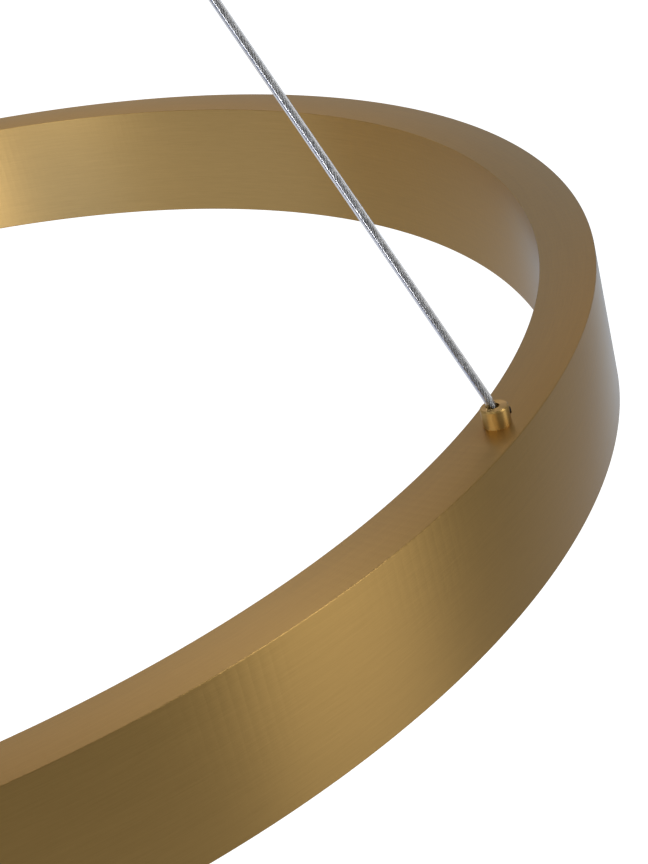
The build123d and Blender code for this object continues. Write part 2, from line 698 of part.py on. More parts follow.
def terminal_block():
    """Moulded block with a wire bore from each side and two screw wells for each pole."""
    body = block(terminal_length, TERMINAL_WIDTH, terminal_bottom, -BRACKET_THICKNESS)
    body = fillet(body.edges().filter_by(Axis.Z), TERMINAL_EDGE_RADIUS)
    body = Pos(TERMINAL_OFFSET_X, TERMINAL_OFFSET_Y, 0) * body
    bore_centre = (TERMINAL_WIDTH - TERMINAL_BORE_DEPTH) / 2
    bore = Rot(90, 0, 0) * Cylinder(TERMINAL_BORE / 2, TERMINAL_BORE_DEPTH)
    well_diameter = TERMINAL_SCREW_DIAMETER + 2 * THREAD_CLEARANCE
    well = rod(well_diameter, terminal_bottom - CUT_REACH, terminal_bore_height)
    for place in terminal_pole_places():
        for side in (-1, 1):
            body -= place * Pos(0, side * bore_centre, terminal_bore_height) * bore
            body -= place * Pos(0, side * TERMINAL_SCREW_SPACING / 2, 0) * well
    for place in terminal_fixing_places():
        body -= place * rod(TERMINAL_FIXING_DIAMETER + 2 * HOLE_CLEARANCE, terminal_bottom - CUT_REACH, 0)
    return body


def terminal_screws():
    """Slotted clamp screws in the terminal block's wells."""
    head = terminal_bottom
    screw = rod(TERMINAL_SCREW_DIAMETER, head, head + TERMINAL_SCREW_LENGTH)
    screw -= block(
        TERMINAL_SCREW_DIAMETER, TERMINAL_SCREW_SLOT_WIDTH, head - CUT_REACH, head + TERMINAL_SCREW_SLOT_DEPTH
    )
    return Compound(
        children=[
            place * Pos(0, side * TERMINAL_SCREW_SPACING / 2, 0) * screw
            for place in terminal_pole_places()
            for side in (-1, 1)
        ]
    )


def terminal_fixing_screws():
    """Screws that hold the terminal block under the bracket."""
    head_low = terminal_bottom - TERMINAL_FIXING_HEAD_HEIGHT
    head = rod(TERMINAL_FIXING_HEAD_DIAMETER, head_low, terminal_bottom)
    screw = head + rod(TERMINAL_FIXING_DIAMETER, terminal_bottom, -SCREW_BELOW_CEILING)
    return Compound(children=[place * screw for place in terminal_fixing_places()])


# Driver


def driver_pad():
    """Adhesive pad between the driver and the canopy floor."""
    return Pos(0, driver_offset_y, 0) * block(
        DRIVER_LENGTH - 2 * DRIVER_PAD_INSET,
        DRIVER_WIDTH - 2 * DRIVER_PAD_INSET,
        canopy_floor,
        driver_bottom,
    )


def lead_hole_offsets():
    """Places of the two leads across the driver's width."""
    return [-LEAD_SPACING / 2, LEAD_SPACING / 2]


def driver_case():
    """Open moulded box with posts for the board and two lead holes at each end."""
    shell = block(DRIVER_LENGTH, DRIVER_WIDTH, driver_bottom, driver_top)
    shell = fillet(shell.edges().filter_by(Axis.Z), DRIVER_CORNER_RADIUS)
    floor_top = driver_bottom + DRIVER_WALL
    hollow = block(
        DRIVER_LENGTH - 2 * DRIVER_WALL, DRIVER_WIDTH - 2 * DRIVER_WALL, floor_top, driver_top + CUT_REACH
    )
    shell -= fillet(hollow.edges().filter_by(Axis.Z), DRIVER_CORNER_RADIUS - DRIVER_WALL)
    post = rod(BOARD_POST_DIAMETER, floor_top, board_bottom)
    post_x = board_length / 2 - BOARD_POST_INSET
    post_y = board_width / 2 - BOARD_POST_INSET
    for side_x in (-1, 1):
        for side_y in (-1, 1):
            shell += Pos(side_x * post_x, side_y * post_y, 0) * post
    for side in (-1, 1):
        for offset in lead_hole_offsets():
            hole = Rot(0, 90, 0) * Cylinder(LEAD_DIAMETER / 2 + HOLE_CLEARANCE, 2 * DRIVER_WALL + CUT_REACH)
            shell -= Pos(side * DRIVER_LENGTH / 2, offset, lead_height) * hole
    return Pos(0, driver_offset_y, 0) * shell


def driver_lid():
    """Lid with a lip that fits inside the case."""
    lid = block(DRIVER_LENGTH, DRIVER_WIDTH, driver_top, lid_top)
    lid = fillet(lid.edges().filter_by(Axis.Z), DRIVER_CORNER_RADIUS)
    lid = chamfer(lid.edges().group_by(Axis.Z)[-1], DRIVER_LID_EDGE)
    inset = DRIVER_WALL + DRIVER_LID_CLEARANCE
    lip_low = driver_top - DRIVER_LID_LIP
    lip = block(DRIVER_LENGTH - 2 * inset, DRIVER_WIDTH - 2 * inset, lip_low, driver_top)
    lip = fillet(lip.edges().filter_by(Axis.Z), DRIVER_CORNER_RADIUS - DRIVER_WALL)
    inner_inset = inset + DRIVER_WALL
    lip -= block(DRIVER_LENGTH - 2 * inner_inset, DRIVER_WIDTH - 2 * inner_inset, lip_low, driver_top)
    return Pos(0, driver_offset_y, 0) * (lid + lip)


def driver_board():
    """Circuit board on the case's posts."""
    return Pos(0, driver_offset_y, 0) * block(board_length, board_width, board_bottom, board_top)


def driver_transformer():
    """Transformer: a square core frame round a wound middle limb."""
    top = board_top + TRANSFORMER_HEIGHT
    core = block(TRANSFORMER_CORE, TRANSFORMER_DEPTH, board_top, top)
    window = TRANSFORMER_CORE - 2 * TRANSFORMER_LIMB
    coil_low = board_top + TRANSFORMER_LIMB / 2
    coil_high = top - TRANSFORMER_LIMB / 2
    coil = block(window, TRANSFORMER_COIL_DEPTH, coil_low, coil_high)
    coil = fillet(coil.edges().filter_by(Axis.Z), TRANSFORMER_LIMB / 2)
    return Pos(0, driver_offset_y, 0) * (core + coil)


def driver_capacitor():
    """Round capacitor standing on the board."""
    can = rod(CAPACITOR_DIAMETER, board_top, board_top + CAPACITOR_HEIGHT)
    can = fillet(can.edges().group_by(Axis.Z)[-1], CAPACITOR_EDGE)
    return Pos(CAPACITOR_OFFSET, driver_offset_y, 0) * can


# Leads in the canopy


def mains_leads():
    """Leads from two poles of the terminal block, over the driver and into its right end."""
    bore_y = TERMINAL_OFFSET_Y + (TERMINAL_WIDTH - TERMINAL_BORE_DEPTH) / 2
    inside_x = DRIVER_LENGTH / 2 - DRIVER_WALL - LEAD_INSIDE_CASE
    leads = []
    for place, offset in zip(terminal_pole_places()[1:], reversed(lead_hole_offsets())):
        pole_x = place.position.X
        turn_y = driver_offset_y + offset
        points = [
            (pole_x, bore_y, terminal_bore_height),
            (pole_x, turn_y, terminal_bore_height),
            (lead_drop_x, turn_y, terminal_bore_height),
            (lead_drop_x, turn_y, lead_height),
            (inside_x, turn_y, lead_height),
        ]
        leads.append(tube(points, LEAD_DIAMETER, LEAD_BEND_RADIUS))
    return Compound(children=leads)


def output_leads():
    """Leads from the ends of two cables, above the driver's lid, down into the driver's left end."""
    run_z = lid_top + LEAD_LID_CLEARANCE + LEAD_DIAMETER / 2
    inside_x = -DRIVER_LENGTH / 2 + DRIVER_WALL + LEAD_INSIDE_CASE
    leads = []
    for angle, offset in zip(suspension_angles, reversed(lead_hole_offsets())):
        stop_x = gripper_radius * cos(radians(angle))
        stop_y = gripper_radius * sin(radians(angle))
        turn_y = driver_offset_y + offset
        points = [
            (stop_x, stop_y, cable_top_end),
            (stop_x, stop_y, run_z),
            (-lead_drop_x, turn_y, run_z),
            (-lead_drop_x, turn_y, lead_height),
            (inside_x, turn_y, lead_height),
        ]
        leads.append(tube(points, LEAD_DIAMETER, LEAD_BEND_RADIUS))
    return Compound(children=leads)


def all_nodes():
    """Every piece by its name."""
    nodes = {
        "ring_channel": ring_channel(),
        "diffuser": diffuser(),
        "light_tray": light_tray(),
        "tray_standoffs": tray_standoffs(),
        "tray_screws": tray_screws(),
        "light_strip": light_strip(),
        "light_chips": light_chips(),
        "ferrule_nuts": ferrule_nuts(),
        "ferrule_set_screws": ferrule_set_screws(),
        "lower_cable_stops": lower_cable_stops(),
        "feed_leads": feed_leads(),
        "canopy_cover": canopy_cover(),
        "canopy_screws": canopy_screws(),
        "ceiling_bracket": ceiling_bracket(),
        "earth_screw": earth_screw(),
        "terminal_block": terminal_block(),
        "terminal_screws": terminal_screws(),
        "terminal_fixing_screws": terminal_fixing_screws(),
        "driver_pad": driver_pad(),
        "driver_case": driver_case(),
        "driver_lid": driver_lid(),
        "driver_board": driver_board(),
        "driver_transformer": driver_transformer(),
        "driver_capacitor": driver_capacitor(),
        "mains_leads": mains_leads(),
        "output_leads": output_leads(),
        "gripper_studs": gripper_studs(),
        "gripper_nuts": gripper_nuts(),
        "upper_cable_stops": upper_cable_stops(),
    }
    for number, angle in enumerate(suspension_angles, start=1):
        nodes[f"ferrule_{number}"] = ferrule(angle)
        nodes[f"suspension_cable_{number}"] = suspension_cable(angle)
        nodes[f"gripper_body_{number}"] = gripper_body(angle)
        nodes[f"gripper_nipple_{number}"] = gripper_nipple(angle)
        nodes[f"gripper_balls_{number}"] = gripper_balls(angle)
        nodes[f"gripper_spring_{number}"] = gripper_spring(angle)
    return nodes


def print_cable_sizes(cable):
    """Length of a cable and its volume as a share of section times length."""
    length = FilletPolyline(*cable_route(FIRST_SUSPENSION_ANGLE), radius=CABLE_BEND_RADIUS).length
    section = pi * CABLE_DIAMETER ** 2 / 4
    share = cable.volume / section / length
    print(f"cable length {length:.1f}, bend radius {CABLE_BEND_RADIUS}, volume share {share:.4f}")


def main():
    os.makedirs("parts", exist_ok=True)
    nodes = all_nodes()
    for name, shape in nodes.items():
        export_step(shape, f"parts/{name}.step")
    print_cable_sizes(nodes["suspension_cable_1"])


if __name__ == "__main__":
    main()
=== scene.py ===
import json
from math import cos, pi, radians, sin

import bmesh
import bpy
from mathutils import Matrix, Vector


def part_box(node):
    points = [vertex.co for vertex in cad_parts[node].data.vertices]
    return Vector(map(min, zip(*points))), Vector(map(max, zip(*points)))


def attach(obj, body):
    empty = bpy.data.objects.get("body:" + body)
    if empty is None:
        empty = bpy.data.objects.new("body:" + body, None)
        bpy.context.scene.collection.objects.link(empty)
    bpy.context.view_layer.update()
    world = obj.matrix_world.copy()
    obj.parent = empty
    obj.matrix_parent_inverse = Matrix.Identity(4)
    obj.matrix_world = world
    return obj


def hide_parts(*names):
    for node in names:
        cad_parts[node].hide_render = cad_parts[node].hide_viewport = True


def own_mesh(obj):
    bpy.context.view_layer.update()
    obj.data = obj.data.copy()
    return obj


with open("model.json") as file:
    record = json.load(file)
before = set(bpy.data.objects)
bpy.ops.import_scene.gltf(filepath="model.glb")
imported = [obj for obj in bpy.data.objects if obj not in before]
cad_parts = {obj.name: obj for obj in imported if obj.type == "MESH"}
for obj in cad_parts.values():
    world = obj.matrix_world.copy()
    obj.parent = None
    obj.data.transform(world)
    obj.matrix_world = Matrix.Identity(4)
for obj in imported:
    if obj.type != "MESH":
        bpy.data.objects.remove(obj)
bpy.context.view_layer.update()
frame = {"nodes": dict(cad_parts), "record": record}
scene = bpy.context.scene

# Ring, with every length here and below in metres
RING_OUTER = 0.300
RING_INNER = 0.281
RING_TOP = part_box("ring_channel")[1][2]
RING_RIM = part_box("ring_channel")[0][2]
SIDE_WALL = 0.0016
TOP_WALL = 0.002
GROOVE_LOW = RING_RIM + 0.005
GROOVE_HIGH = GROOVE_LOW + 0.0018
GROOVE_DEPTH = 0.0007
RING_EDGE = 0.0004
RING_STEPS = 540
EDGE_STEPS = 4
SPIGOT_HOLE = 0.0062
HOLE_DEPTH = 4 * TOP_WALL
HOLE_SIDES = 48

# Diffuser
DIFFUSER_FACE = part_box("diffuser")[0][2]
DIFFUSER_CLEARANCE = 0.00015
DIFFUSER_THICKNESS = 0.002
DIFFUSER_LEG = 0.0012
DIFFUSER_LEG_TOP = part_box("diffuser")[1][2]
DIFFUSER_EDGE = 0.0004

# Cables, each drawn taut from its ferrule up to its gripper
SUSPENSION_ANGLES = (90, 210, 330)
SUSPENSION_RADIUS = (RING_OUTER + RING_INNER) / 2
GRIPPER_RADIUS = 0.065
FERRULE_MOUTH = RING_TOP + 0.0058
FERRULE_BEND_DEPTH = 0.001
NIPPLE_MOUTH = -0.060
CABLE_DIAMETER = 0.0028
CABLE_LOW_END = RING_TOP - 0.013
CABLE_TOP_END = -0.025
STRAIGHTENING = 4 * CABLE_DIAMETER
STRAIGHT_IN_BORE = 3 * CABLE_DIAMETER
ROUTE_ORDER = 3
ROUTE_STEPS = 24
JACKET_FINENESS = 6
STRAND_DIAMETER = 0.00048
STRAND_COUNT = 6
STRAND_LAY = 0.010
STRAND_STEP = 0.0008
STRAND_FINENESS = 1

# Springs of the grippers, between the stud and the nipple's flange
STUD_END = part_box("gripper_studs")[0][2]
FLANGE_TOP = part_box("gripper_nipple_1")[1][2]
SPRING_WIRE = 0.0006
SPRING_DIAMETER = 0.0058
SPRING_TURNS = 4
SPRING_STEPS = 32
SPRING_FINENESS = 3
SPRING_END_CLEARANCE = 0.0001

# Limits within which points meet or lie on a corner, and the turn that makes an edge sharp
WELD = 1e-6
ON_CORNER = 2e-5
SHARP_ANGLE = radians(30)


# Pieces and meshes

def finished_piece(name, mesh, body, slot, *replaced):
    """Put a mesh in the scene as a piece that rides on a body and stands for CAD nodes."""
    piece = bpy.data.objects.new(name, mesh)
    scene.collection.objects.link(piece)
    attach(piece, body)
    if replaced:
        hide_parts(*replaced)
    return piece


def edges_at(shape, corners):
    """Edges of a turned shape that run round through any of the given corners of its section."""
    def on_corner(vertex):
        radius = vertex.co.xy.length
        return any(abs(radius - r) < ON_CORNER and abs(vertex.co.z - z) < ON_CORNER for r, z in corners)

    return [edge for edge in shape.edges if all(on_corner(vertex) for vertex in edge.verts)]


def mesh_of(holder):
    """Mesh that an object gives with its modifiers, in place of that object."""
    scene.collection.objects.link(holder)
    bpy.context.view_layer.update()
    evaluated = holder.evaluated_get(bpy.context.evaluated_depsgraph_get())
    mesh = bpy.data.meshes.new_from_object(evaluated)
    bpy.data.objects.remove(holder)
    return mesh


def drilled_mesh(mesh):
    """Ring with a hole through its top wall for each ferrule's spigot."""
    drill = bmesh.new()
    for angle in SUSPENSION_ANGLES:
        outwards = Matrix.Translation((SUSPENSION_RADIUS, 0, RING_TOP))
        place = Matrix.Rotation(radians(angle), 4, "Z") @ outwards
        bmesh.ops.create_cone(
            drill, cap_ends=True, segments=HOLE_SIDES, radius1=SPIGOT_HOLE / 2, radius2=SPIGOT_HOLE / 2,
            depth=HOLE_DEPTH, matrix=place,
        )
    bits = bpy.data.meshes.new("drill")
    drill.to_mesh(bits)
    drill.free()
    drills = bpy.data.objects.new("drill", bits)
    scene.collection.objects.link(drills)
    blank = bpy.data.objects.new(mesh.name, mesh)
    cut = blank.modifiers.new("holes", "BOOLEAN")
    cut.object = drills
    cut.operation = "DIFFERENCE"
    cut.solver = "EXACT"
    drilled = mesh_of(blank)
    bpy.data.objects.remove(drills)
    drilled.set_sharp_from_angle(angle=SHARP_ANGLE)
    return drilled


def smooth(mesh):
    """Shade a mesh's faces as one round surface."""
    for face in mesh.polygons:
        face.use_smooth = True


def spun_mesh(name, section, rounded, edge_radius):
    """Mesh turned about the z axis from a closed section of radius and height, with some edges rounded."""
    shape = bmesh.new()
    corners = [shape.verts.new((radius, 0, height)) for radius, height in section]
    for start, end in zip(corners, corners[1:] + corners[:1]):
        shape.edges.new((start, end))
    bmesh.ops.spin(
        shape, geom=shape.verts[:] + shape.edges[:], axis=(0, 0, 1), angle=2 * pi, steps=RING_STEPS,
        use_merge=True,
    )
    bmesh.ops.remove_doubles(shape, verts=shape.verts, dist=WELD)
    bmesh.ops.recalc_face_normals(shape, faces=shape.faces)
    bmesh.ops.bevel(
        shape, geom=edges_at(shape, rounded), offset=edge_radius, offset_type="OFFSET",
        affect="EDGES", segments=EDGE_STEPS, profile=0.5, material=-1,
    )
    mesh = bpy.data.meshes.new(name)
    shape.to_mesh(mesh)
    shape.free()
    smooth(mesh)
    mesh.set_sharp_from_angle(angle=SHARP_ANGLE)
    return mesh


def ring_piece():
    """Channel of the ring, with its snap grooves and softly broken edges."""
    cavity_outer = RING_OUTER - SIDE_WALL
    cavity_inner = RING_INNER + SIDE_WALL
    cavity_top = RING_TOP - TOP_WALL
    outer_leg = [
        (RING_OUTER, RING_TOP),
        (RING_OUTER, RING_RIM),
        (cavity_outer, RING_RIM),
        (cavity_outer, GROOVE_LOW),
        (cavity_outer + GROOVE_DEPTH, GROOVE_LOW),
        (cavity_outer + GROOVE_DEPTH, GROOVE_HIGH),
        (cavity_outer, GROOVE_HIGH),
        (cavity_outer, cavity_top),
    ]
    inner_leg = [
        (cavity_inner, cavity_top),
        (cavity_inner, GROOVE_HIGH),
        (cavity_inner - GROOVE_DEPTH, GROOVE_HIGH),
        (cavity_inner - GROOVE_DEPTH, GROOVE_LOW),
        (cavity_inner, GROOVE_LOW),
        (cavity_inner, RING_RIM),
        (RING_INNER, RING_RIM),
        (RING_INNER, RING_TOP),
    ]
    rounded = [
        (RING_OUTER, RING_TOP), (RING_INNER, RING_TOP), (RING_OUTER, RING_RIM), (RING_INNER, RING_RIM),
    ]
    mesh = drilled_mesh(spun_mesh("brushed_ring", outer_leg + inner_leg, rounded, RING_EDGE))
    return finished_piece("brushed_ring", mesh, "ring", "brushed_brass_finish", "ring_channel")


def diffuser_piece():
    """Opal cover with two legs, whose barbs sit in the ring's grooves."""
    inner = RING_INNER + SIDE_WALL + DIFFUSER_CLEARANCE
    outer = RING_OUTER - SIDE_WALL - DIFFUSER_CLEARANCE
    floor_top = DIFFUSER_FACE + DIFFUSER_THICKNESS
    barb_low = GROOVE_LOW + DIFFUSER_CLEARANCE
    barb_high = GROOVE_HIGH - DIFFUSER_CLEARANCE
    section = [
        (inner, DIFFUSER_FACE),
        (inner, barb_low),
        (inner - GROOVE_DEPTH, barb_low),
        (inner, barb_high),
        (inner, DIFFUSER_LEG_TOP),
        (inner + DIFFUSER_LEG, DIFFUSER_LEG_TOP),
        (inner + DIFFUSER_LEG, floor_top),
        (outer - DIFFUSER_LEG, floor_top),
        (outer - DIFFUSER_LEG, DIFFUSER_LEG_TOP),
        (outer, DIFFUSER_LEG_TOP),
        (outer, barb_high),
        (outer + GROOVE_DEPTH, barb_low),
        (outer, barb_low),
        (outer, DIFFUSER_FACE),
    ]
    rounded = [(inner, DIFFUSER_FACE), (outer, DIFFUSER_FACE)]
    mesh = spun_mesh("opal_diffuser", section, rounded, DIFFUSER_EDGE)
    return finished_piece("opal_diffuser", mesh, "ring", "opal_plastic", "diffuser")


# Cable pieces

def cable_route(angle):
    """Control points of a cable: its solid's route, with points that keep it straight near the bends."""
    low = Vector((SUSPENSION_RADIUS, 0, CABLE_LOW_END))
    bend = Vector((SUSPENSION_RADIUS, 0, FERRULE_MOUTH - FERRULE_BEND_DEPTH))
    mouth = Vector((GRIPPER_RADIUS, 0, NIPPLE_MOUTH))
    top = Vector((GRIPPER_RADIUS, 0, CABLE_TOP_END))
    in_bore = bend - Vector((0, 0, STRAIGHT_IN_BORE))
    way = (mouth - bend).normalized() * STRAIGHTENING
    turn = Matrix.Rotation(radians(angle), 3, "Z")
    return [turn @ point for point in (low, in_bore, bend, bend + way, mouth - way, mouth, top)]


def cable_curve(name, route, depth):
    """Smooth curve through a cable's route, round where it has a depth."""
    curve = bpy.data.curves.new(name, "CURVE")
    curve.dimensions = "3D"
    spline = curve.splines.new("NURBS")
    spline.points.add(len(route) - 1)
    for place, point in zip(spline.points, route):
        place.co = (*point, 1)
    spline.order_u = ROUTE_ORDER
    spline.use_endpoint_u = True
    spline.resolution_u = ROUTE_STEPS
    curve.bevel_depth = depth
    curve.bevel_resolution = JACKET_FINENESS
    curve.use_fill_caps = True
    return curve


def mesh_of_curve(curve):
    """Mesh that a curve gives."""
    return mesh_of(bpy.data.objects.new(curve.name, curve))


def even_points(points, step):
    """Points a step apart along a line of points."""
    spaced = [points[0]]
    left = step
    for start, end in zip(points, points[1:]):
        run = end - start
        while left <= run.length:
            spaced.append(start + run.normalized() * left)
            left += step
        left -= run.length
    return spaced


def strand_lines(line):
    """Lines of a cable's strands: a middle one, and others twisted round it."""
    across = Vector((0, 0, 1)).cross(line[0].xy.to_3d()).normalized()
    ways = [(end - start).normalized() for start, end in zip(line, line[1:])]
    ways.append(ways[-1])
    strands = [line]
    for strand in range(STRAND_COUNT):
        twisted = []
        for index, (point, way) in enumerate(zip(line, ways)):
            turn = 2 * pi * (strand / STRAND_COUNT + index * STRAND_STEP / STRAND_LAY)
            beside = across * cos(turn) + way.cross(across) * sin(turn)
            twisted.append(point + beside * STRAND_DIAMETER)
        strands.append(twisted)
    return strands


def wire_curve(name, lines, diameter, fineness):
    """Round wires of one diameter along lines of points."""
    curve = bpy.data.curves.new(name, "CURVE")
    curve.dimensions = "3D"
    curve.bevel_depth = diameter / 2
    curve.bevel_resolution = fineness
    curve.use_fill_caps = True
    for line in lines:
        spline = curve.splines.new("POLY")
        spline.points.add(len(line) - 1)
        for place, point in zip(spline.points, line):
            place.co = (*point, 1)
    return curve


def cable_pieces(number, angle):
    """Clear jacket and stranded core of one cable."""
    route = cable_route(angle)
    line = [vertex.co.copy() for vertex in mesh_of_curve(cable_curve("line", route, 0)).vertices]
    jacket_mesh = mesh_of_curve(cable_curve(f"cable_jacket_{number}", route, CABLE_DIAMETER / 2))
    wires = strand_lines(even_points(line, STRAND_STEP))
    core_mesh = mesh_of_curve(wire_curve(f"cable_core_{number}", wires, STRAND_DIAMETER, STRAND_FINENESS))
    jacket = finished_piece(
        f"cable_jacket_{number}", jacket_mesh, "canopy", "clear_cable", f"suspension_cable_{number}"
    )
    core = finished_piece(f"cable_core_{number}", core_mesh, "canopy", "clear_cable")
    for piece in (jacket, core):
        smooth(piece.data)
        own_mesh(piece)
    return jacket, core


# Gripper springs

def spring_piece(number, angle):
    """Spring of one gripper, between its stud and the nipple's flange."""
    top = STUD_END - SPRING_END_CLEARANCE - SPRING_WIRE / 2
    bottom = FLANGE_TOP + SPRING_END_CLEARANCE + SPRING_WIRE / 2
    radius = (SPRING_DIAMETER - SPRING_WIRE) / 2
    round_axis = Matrix.Rotation(radians(angle), 3, "Z")
    steps = SPRING_TURNS * SPRING_STEPS
    coil = []
    for step in range(steps + 1):
        turn = 2 * pi * step / SPRING_STEPS
        height = top + (bottom - top) * step / steps
        coil.append(round_axis @ Vector((GRIPPER_RADIUS + radius * cos(turn), -radius * sin(turn), height)))
    mesh = mesh_of_curve(wire_curve(f"nipple_spring_{number}", [coil], SPRING_WIRE, SPRING_FINENESS))
    smooth(mesh)
    spring = finished_piece(
        f"nipple_spring_{number}", mesh, "canopy", "zinc_steel", f"gripper_spring_{number}"
    )
    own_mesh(spring)
    return spring


# Finishes: sizes of lines and clouds, tones from dark to light, roughness, strength and depth of reliefs
FINE_LINES = {"Length": 0.009, "Width": 0.00025}
COARSE_LINES = {"Length": 0.03, "Width": 0.0008}
COARSE_SHARE = 0.4
BRUSHED_TONES = (0.40, 0.25, 0.082), (0.565, 0.357, 0.12)
BRUSHED_ROUGHNESS = 0.36, 0.46
BRUSHED_RELIEF = 0.1, 0.00005
TURNING_LINES = (300, 300, 9000)
TURNED_TONES = (0.45, 0.288, 0.095), (0.61, 0.40, 0.135)
TURNED_ROUGHNESS = 0.36, 0.46
TURNED_RELIEF = 0.12, 0.00003
JACKET_CLOUD = 0.004
JACKET_TONES = (0.94, 0.94, 0.93), (0.99, 0.99, 0.98)
JACKET_ROUGHNESS = 0.01, 0.04
STRAND_CLOUD = 0.0014
STRAND_TONES = (0.02, 0.02, 0.021), (0.68, 0.68, 0.685)
STRAND_ROUGHNESS = 0.3, 0.42
METAL_SPREAD = 0.08
METAL_RELIEF = 0.08, 0.00005
MOULDED_SPREAD = 0.06
MOULDED_DEPTH = 0.0001
GRAIN_FINENESS = 12.0

# Sockets of a Mix node, whose names repeat
MIX_SHARE = 0
FIRST_NUMBER = 2
SECOND_NUMBER = 3
FIRST_COLOUR = 6
SECOND_COLOUR = 7
MIXED_NUMBER = 0
MIXED_COLOUR = 2


def feed(tree, socket, value):
    """Join a socket to another one, or set it to a plain value."""
    if isinstance(value, bpy.types.NodeSocket):
        tree.links.new(value, socket)
    else:
        socket.default_value = value


def put(tree, kind, inputs=None, **settings):
    """Add a node, set its settings, and set or join its inputs."""
    made = tree.nodes.new(kind)
    for name, value in settings.items():
        setattr(made, name, value)
    for name, value in (inputs or {}).items():
        feed(tree, made.inputs[name], value)
    return made


def calculate(tree, operation, first, second=0.0):
    """Result of a sum on one or two values."""
    return put(tree, "ShaderNodeMath", {0: first, 1: second}, operation=operation).outputs[0]


def spread(tree, value, low, high):
    """Value from 0 to 1 spread between two limits."""
    return put(tree, "ShaderNodeMapRange", {"Value": value, "To Min": low, "To Max": high}).outputs[0]


def two_tone(tree, value, dark, light):
    """Colour between two tones, by a value from 0 to 1."""
    tones = {MIX_SHARE: value, FIRST_COLOUR: (*dark, 1), SECOND_COLOUR: (*light, 1)}
    return put(tree, "ShaderNodeMix", tones, data_type="RGBA").outputs[MIXED_COLOUR]


def new_group(name, inputs, outputs):
    """Empty node group with number inputs and outputs, and its two end nodes."""
    group = bpy.data.node_groups.new(name, "ShaderNodeTree")
    for socket in inputs:
        group.interface.new_socket(socket, in_out="INPUT", socket_type="NodeSocketFloat")
    for socket in outputs:
        group.interface.new_socket(socket, in_out="OUTPUT", socket_type="NodeSocketFloat")
    return group, put(group, "NodeGroupInput"), put(group, "NodeGroupOutput")


def brush_line_group():
    """Fine lines that run round the z axis, on walls and on flats, of a given length and width."""
    group, given, result = new_group("brush_lines", ("Length", "Width"), ("Lines",))
    place = put(group, "ShaderNodeTexCoord").outputs["Object"]
    split = put(group, "ShaderNodeSeparateXYZ", {"Vector": place}).outputs
    flat = put(group, "ShaderNodeCombineXYZ", {"X": split["X"], "Y": split["Y"]}).outputs[0]
    radius = put(group, "ShaderNodeVectorMath", {0: flat}, operation="LENGTH").outputs["Value"]
    stretched = put(
        group,
        "ShaderNodeCombineXYZ",
        {
            "X": calculate(group, "DIVIDE", split["X"], given.outputs["Length"]),
            "Y": calculate(group, "DIVIDE", split["Y"], given.outputs["Length"]),
            "Z": calculate(group, "DIVIDE", split["Z"], given.outputs["Width"]),
        },
    ).outputs[0]
    noise = put(
        group,
        "ShaderNodeTexNoise",
        {
            "Vector": stretched,
            "W": calculate(group, "DIVIDE", radius, given.outputs["Width"]),
            "Scale": 1.0, "Detail": 2.0, "Roughness": 0.6,
        },
        noise_dimensions="4D",
    )
    group.links.new(noise.outputs[0], result.inputs["Lines"])
    return group


def speckle_group():
    """Cloudy and fine variation of a surface, of a given size."""
    group, given, result = new_group("speckle", ("Size",), ("Cloud", "Grain"))
    place = put(group, "ShaderNodeTexCoord").outputs["Object"]
    scale = calculate(group, "DIVIDE", 1.0, given.outputs["Size"])
    cloud = put(group, "ShaderNodeTexNoise", {"Vector": place, "Scale": scale, "Detail": 3.0})
    fine_scale = calculate(group, "MULTIPLY", scale, GRAIN_FINENESS)
    fine = put(group, "ShaderNodeTexNoise", {"Vector": place, "Scale": fine_scale})
    group.links.new(cloud.outputs[0], result.inputs["Cloud"])
    group.links.new(fine.outputs[0], result.inputs["Grain"])
    return group


brush_lines = brush_line_group()
speckle = speckle_group()


def new_finish(name):
    """Material with a plain surface shader, its tree and that shader."""
    material = bpy.data.materials.new(name)
    material.use_nodes = True
    tree = material.node_tree
    tree.nodes.clear()
    shader = put(tree, "ShaderNodeBsdfPrincipled")
    put(tree, "ShaderNodeOutputMaterial", {"Surface": shader.outputs[0]})
    return material, tree, shader


def set_inputs(tree, shader, **inputs):
    """Set or join a shader's inputs, whose names are written with underscores."""
    for name, value in inputs.items():
        feed(tree, shader.inputs[name.replace("_", " ")], value)


def relief(tree, height, strength, distance):
    """Surface direction bent by a height."""
    return put(
        tree, "ShaderNodeBump", {"Height": height, "Strength": strength, "Distance": distance}
    ).outputs[0]


def group_node(tree, group, **inputs):
    """Place a node group and set its inputs."""
    made = put(tree, "ShaderNodeGroup", node_tree=group)
    for name, value in inputs.items():
        feed(tree, made.inputs[name], value)
    return made


def brushed_brass():
    """Satin brass colour on aluminium, brushed round the ring."""
    material, tree, shader = new_finish("brushed_brass_finish")
    fine = group_node(tree, brush_lines, **FINE_LINES).outputs["Lines"]
    coarse = group_node(tree, brush_lines, **COARSE_LINES).outputs["Lines"]
    both = {MIX_SHARE: COARSE_SHARE, FIRST_NUMBER: fine, SECOND_NUMBER: coarse}
    lines = put(tree, "ShaderNodeMix", both).outputs[MIXED_NUMBER]
    tangent = put(tree, "ShaderNodeTangent", direction_type="RADIAL", axis="Z").outputs[0]
    set_inputs(
        tree, shader,
        Base_Color=two_tone(tree, lines, *BRUSHED_TONES),
        Metallic=1.0,
        Roughness=spread(tree, lines, *BRUSHED_ROUGHNESS),
        Anisotropic=0.85,
        Anisotropic_Rotation=0.25,
        Tangent=tangent,
        Normal=relief(tree, lines, *BRUSHED_RELIEF),
    )
    return material


